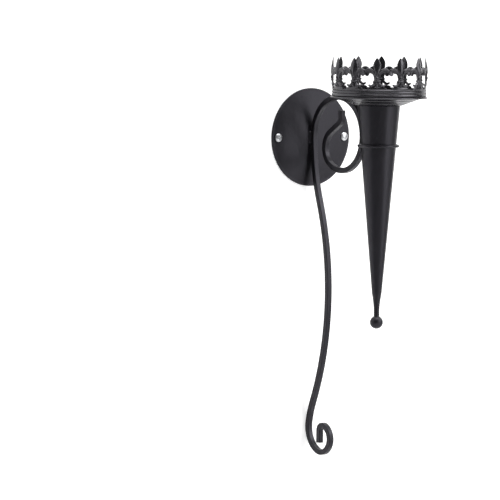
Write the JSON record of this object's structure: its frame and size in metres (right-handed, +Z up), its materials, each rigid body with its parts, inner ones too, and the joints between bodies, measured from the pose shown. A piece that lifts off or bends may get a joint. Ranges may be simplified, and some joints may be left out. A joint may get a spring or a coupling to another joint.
{
  "type": "torch sconce",
  "caption": "Wall sconce in black metal: a scrolled square bar on a round domed plate holds a tapered torch with a fleur-de-lis candle crown in a wire ring.",
  "frame": {"origin": "centre of the round wall plate, on the wall plane", "axes": "+Z up, +Y into the wall, so the sconce stands out towards -Y; +X is to the right of someone facing it"},
  "size_m": [0.112, 0.2176, 0.4571],
  "materials": {
    "black_metal": "satin black powder coat with a fine texture",
    "zinc_screw": "bright zinc plate"
  },
  "bodies": {
    "bracket": {"back_plate": "black_metal", "wall_screws": "zinc_screw", "plate_weld_beads": "black_metal", "scroll_bar": "black_metal", "torch_ring": "black_metal", "ring_weld": "black_metal"},
    "torch": {"torch_cone": "black_metal", "ball_finial": "black_metal", "cone_cap": "black_metal", "cap_nut": "zinc_screw", "candle_pan": "black_metal", "pan_screw": "zinc_screw", "crown_gallery": "black_metal"}
  },
  "joints": [
    {"name": "torch_lift", "type": "slide", "parent": "bracket", "child": "torch", "axis": [0, 0, 1], "range_m": [0, 0.22]}
  ]
}
